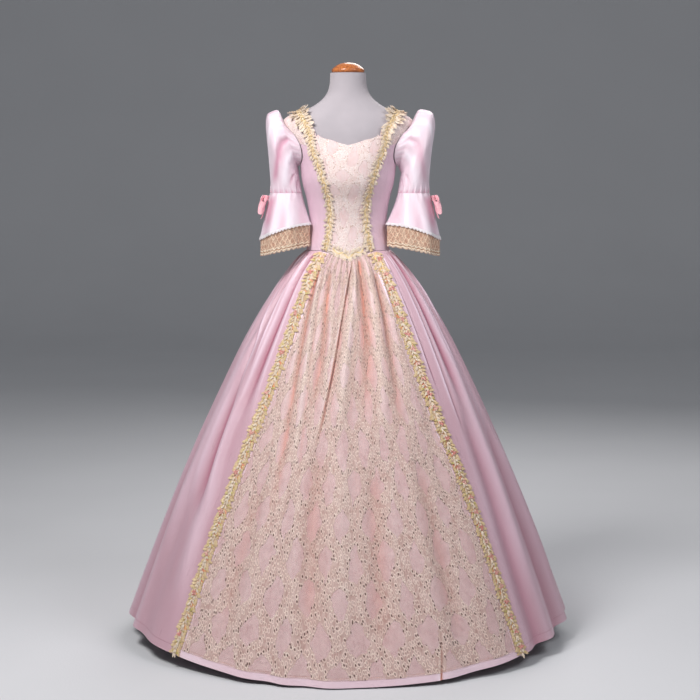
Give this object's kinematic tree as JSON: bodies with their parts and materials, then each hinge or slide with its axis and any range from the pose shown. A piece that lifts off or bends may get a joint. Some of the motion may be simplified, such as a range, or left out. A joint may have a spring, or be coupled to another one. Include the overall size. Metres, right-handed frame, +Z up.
{
  "type": "ball gown on a dress form",
  "caption": "Floor-length ball gown with lace-fronted boned bodice, puffed elbow sleeves with lace cuffs and full gathered skirt, on a limbless dress form.",
  "frame": {"origin": "on the floor, at the middle of the stand's round base", "axes": "+Z up; the gown's front faces -Y; +X is the wearer's left"},
  "size_m": [1.25, 1.212, 1.6263],
  "materials": {
    "satin": "smooth pale pink satin",
    "laced_satin": "pink satin under lace",
    "lace": "champagne lace",
    "braid": "gold leafy lace braid",
    "cuff_lace": "stiff gold lace",
    "edging": "white scalloped edging",
    "ribbon": "pink satin ribbon",
    "form_cover": "ivory jersey over a padded form",
    "wood": "turned and varnished",
    "stand": "plain metal"
  },
  "bodies": {
    "root": {"form_torso": "form_cover", "form_neck_cap": "wood", "form_pole": "stand", "form_base": "stand", "bodice_front": "laced_satin", "bodice_front_lace": "lace", "waist_braid": "braid", "bodice_side_front_left": "satin", "bodice_side_front_right": "satin", "bodice_side_back_left": "satin", "bodice_side_back_right": "satin", "bodice_yoke_left": "laced_satin", "bodice_yoke_right": "laced_satin", "bodice_yoke_lace_left": "lace", "bodice_yoke_lace_right": "lace", "bodice_back_left": "satin", "bodice_back_right": "satin", "neck_braid_left": "braid", "neck_braid_right": "braid", "skirt_side_left": "satin", "skirt_side_right": "satin", "skirt_back_left": "satin", "skirt_back_right": "satin", "skirt_braid_left": "braid", "skirt_braid_right": "braid", "sleeve_left": "satin", "sleeve_right": "satin", "flounce_left": "satin", "flounce_right": "satin", "flounce_edging_left": "edging", "flounce_edging_right": "edging", "cuff_lace_left": "cuff_lace", "cuff_lace_right": "cuff_lace", "bow_loop_front_left": "ribbon", "bow_loop_front_right": "ribbon", "bow_tail_front_left": "ribbon", "bow_tail_front_right": "ribbon", "bow_loop_back_left": "ribbon", "bow_loop_back_right": "ribbon", "bow_tail_back_left": "ribbon", "bow_tail_back_right": "ribbon", "bow_knot_left": "ribbon", "bow_knot_right": "ribbon", "back_placket": "satin", "skirt_front": "laced_satin", "skirt_front_lace": "lace"}
  },
  "joints": []
}
